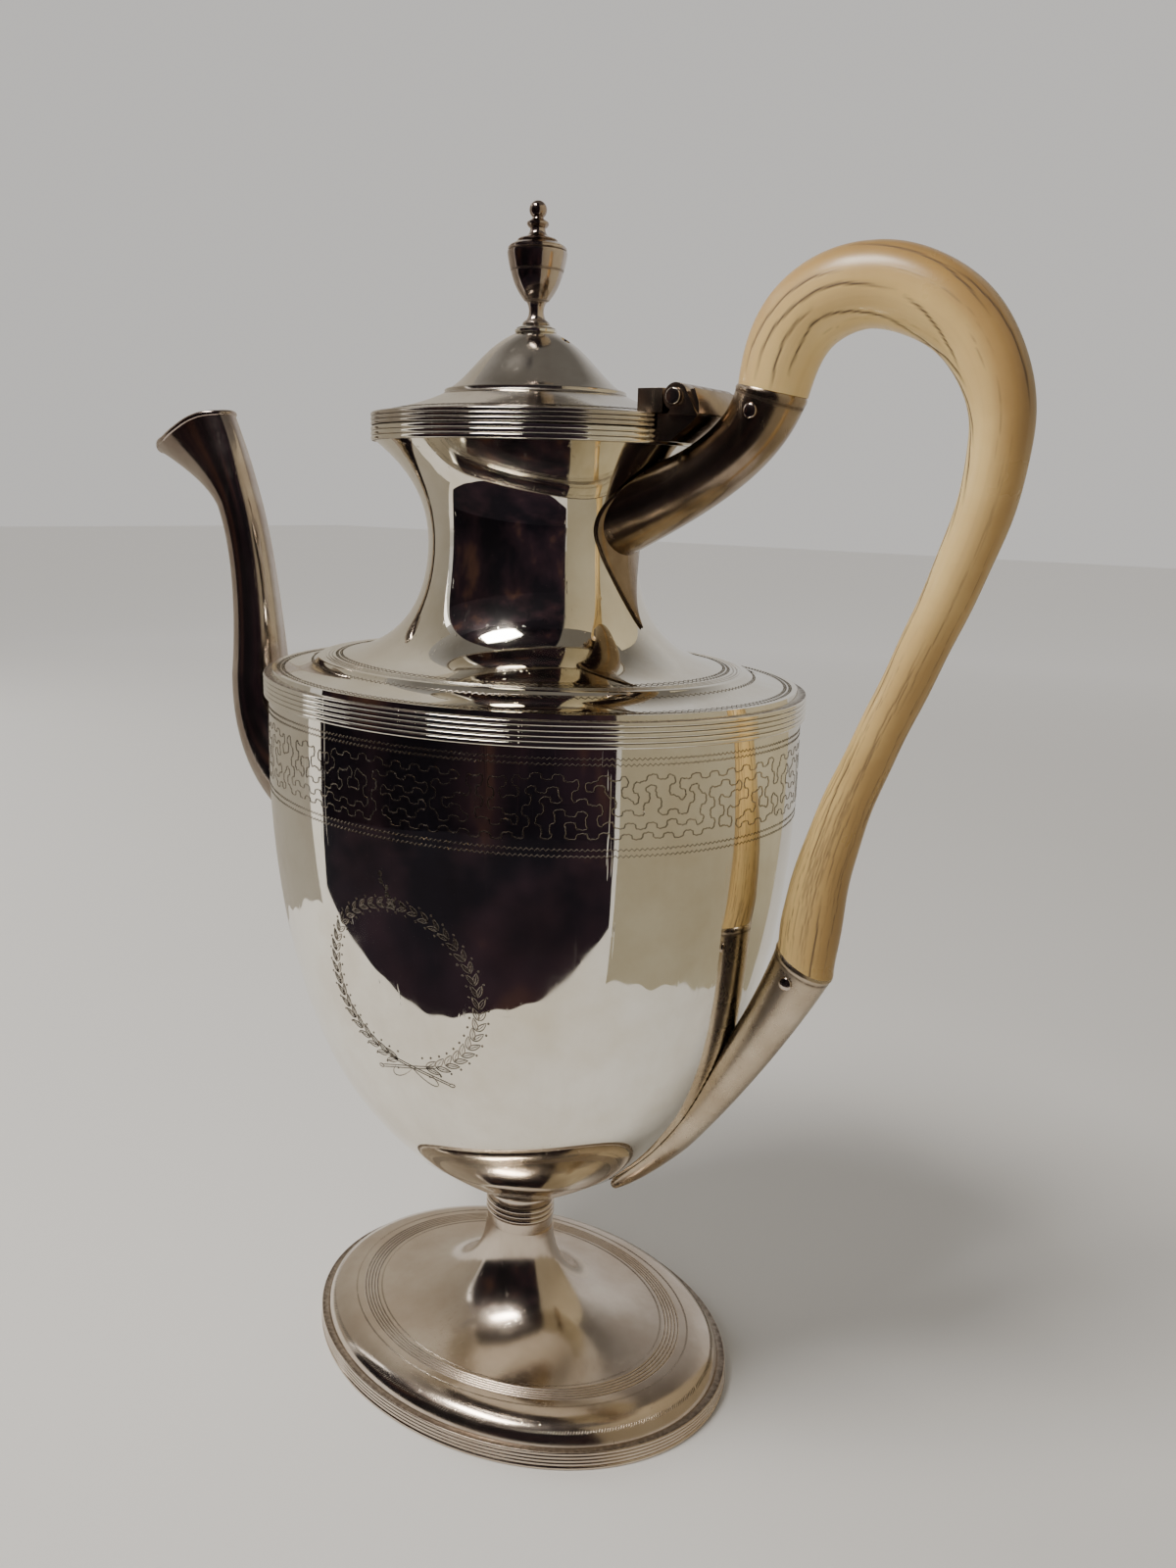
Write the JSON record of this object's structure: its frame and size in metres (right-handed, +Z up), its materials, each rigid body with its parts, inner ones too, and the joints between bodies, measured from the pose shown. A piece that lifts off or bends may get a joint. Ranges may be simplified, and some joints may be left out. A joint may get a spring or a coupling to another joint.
{
  "type": "coffee pot",
  "caption": "Oval urn-shaped metal coffee pot on a spreading foot, with a curved spout, a looped handle and a hinged domed lid with an urn finial.",
  "frame": {"origin": "middle of the oval foot's underside, on the surface the pot stands on", "axes": "+Z up, +X towards the handle, -X towards the spout, Y across the pot"},
  "size_m": [0.2721, 0.1288, 0.32],
  "materials": {
    "silver": "polished, lightly tarnished",
    "dark_silver": "polished, heavily tarnished",
    "ivory": "polished, aged, with fine cracks"
  },
  "bodies": {
    "pot": {"body_shell": "silver", "calyx": "silver", "stem_collar": "silver", "foot": "silver", "foot_rim": "silver", "foot_plate": "silver", "shoulder_moulding": "silver", "shoulder": "silver", "neck": "silver", "neck_rim": "silver", "spout": "silver", "spout_lip": "silver", "upper_socket_plate": "dark_silver", "upper_socket": "dark_silver", "lower_socket": "dark_silver", "handle": "ivory", "upper_handle_pin": "silver", "lower_handle_pin": "silver", "hinge_bracket": "dark_silver", "hinge_pin": "dark_silver"},
    "lid": {"lid_dome": "silver", "lid_rim": "silver", "lid_bezel": "silver", "hinge_leaf": "dark_silver", "finial_collar": "silver", "finial_urn": "silver", "finial_cap": "silver", "finial_nut": "silver"}
  },
  "joints": [
    {"name": "lid_hinge", "type": "hinge", "parent": "pot", "child": "lid", "pos_m": [0.048, 0, 0.272], "axis": [0, 1, 0], "range_deg": [0, 95]}
  ]
}
